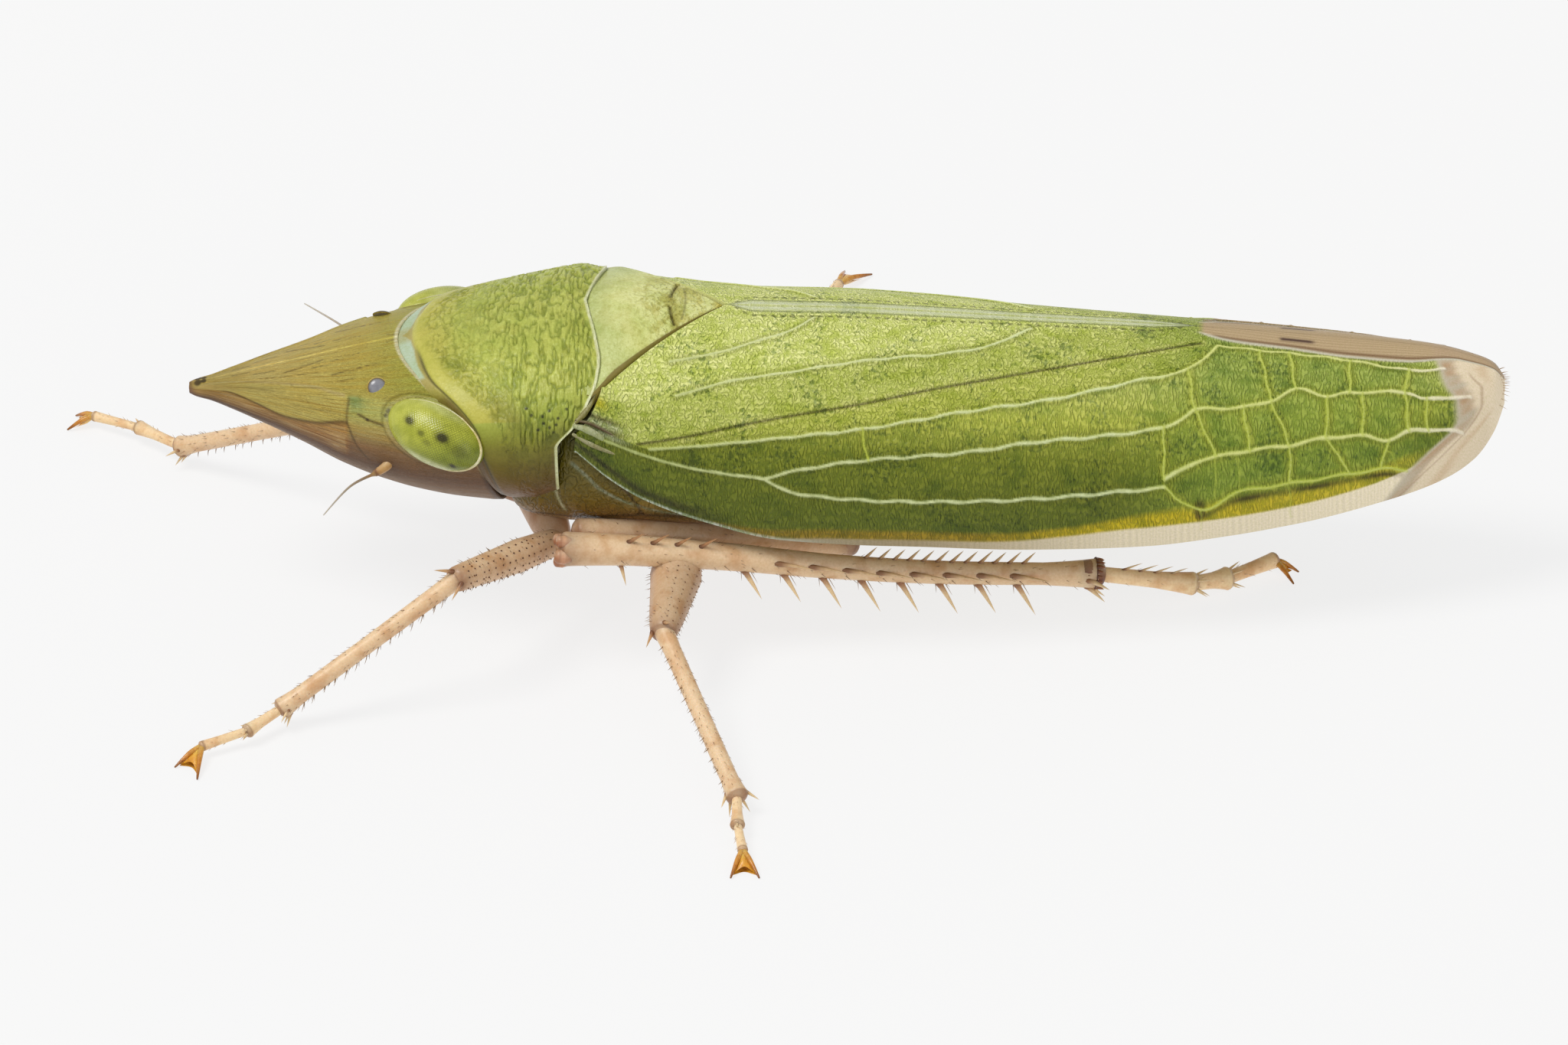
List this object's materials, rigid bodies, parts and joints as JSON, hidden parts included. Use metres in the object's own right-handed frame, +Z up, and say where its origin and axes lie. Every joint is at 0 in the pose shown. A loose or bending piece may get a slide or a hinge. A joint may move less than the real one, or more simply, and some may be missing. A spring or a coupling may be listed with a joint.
{
  "type": "draeculacephala leafhopper, still life-size model",
  "caption": "Slender green sharpshooter leafhopper with a long pointed head and roofed wings, standing still on its legs, for display or study",
  "frame": {"origin": "on the floor under the middle of the whole animal's bounding box, feelers and claws included", "axes": "+Z up from the floor that the claws stand on, +X from head to wing tips, -Y the animal's left side, metres"},
  "size_m": [0.01, 0.0077, 0.0023],
  "materials": {
    "head_cuticle": "satin",
    "eye": "gloss",
    "thorax_cuticle": "satin",
    "underside_cuticle": "matte",
    "wing": "satin",
    "leg_cuticle": "satin",
    "feeler": "satin"
  },
  "bodies": {
    "root": {"head": "head_cuticle", "eye_L": "eye", "eye_R": "eye", "antenna_L": "feeler", "antenna_R": "feeler", "beak": "underside_cuticle", "pronotum": "thorax_cuticle", "scutellum": "thorax_cuticle", "thorax": "underside_cuticle", "abdomen": "underside_cuticle", "wing_L": "wing", "wing_R": "wing", "femur_fore_L": "leg_cuticle", "femur_fore_R": "leg_cuticle", "femur_mid_L": "leg_cuticle", "femur_mid_R": "leg_cuticle", "femur_hind_L": "leg_cuticle", "femur_hind_R": "leg_cuticle", "tibia_fore_L": "leg_cuticle", "tibia_fore_R": "leg_cuticle", "tibia_mid_L": "leg_cuticle", "tibia_mid_R": "leg_cuticle", "tibia_hind_L": "leg_cuticle", "tibia_hind_R": "leg_cuticle", "tarsus_fore_L": "leg_cuticle", "tarsus_fore_R": "leg_cuticle", "tarsus_mid_L": "leg_cuticle", "tarsus_mid_R": "leg_cuticle", "tarsus_hind_L": "leg_cuticle", "tarsus_hind_R": "leg_cuticle"}
  },
  "joints": []
}
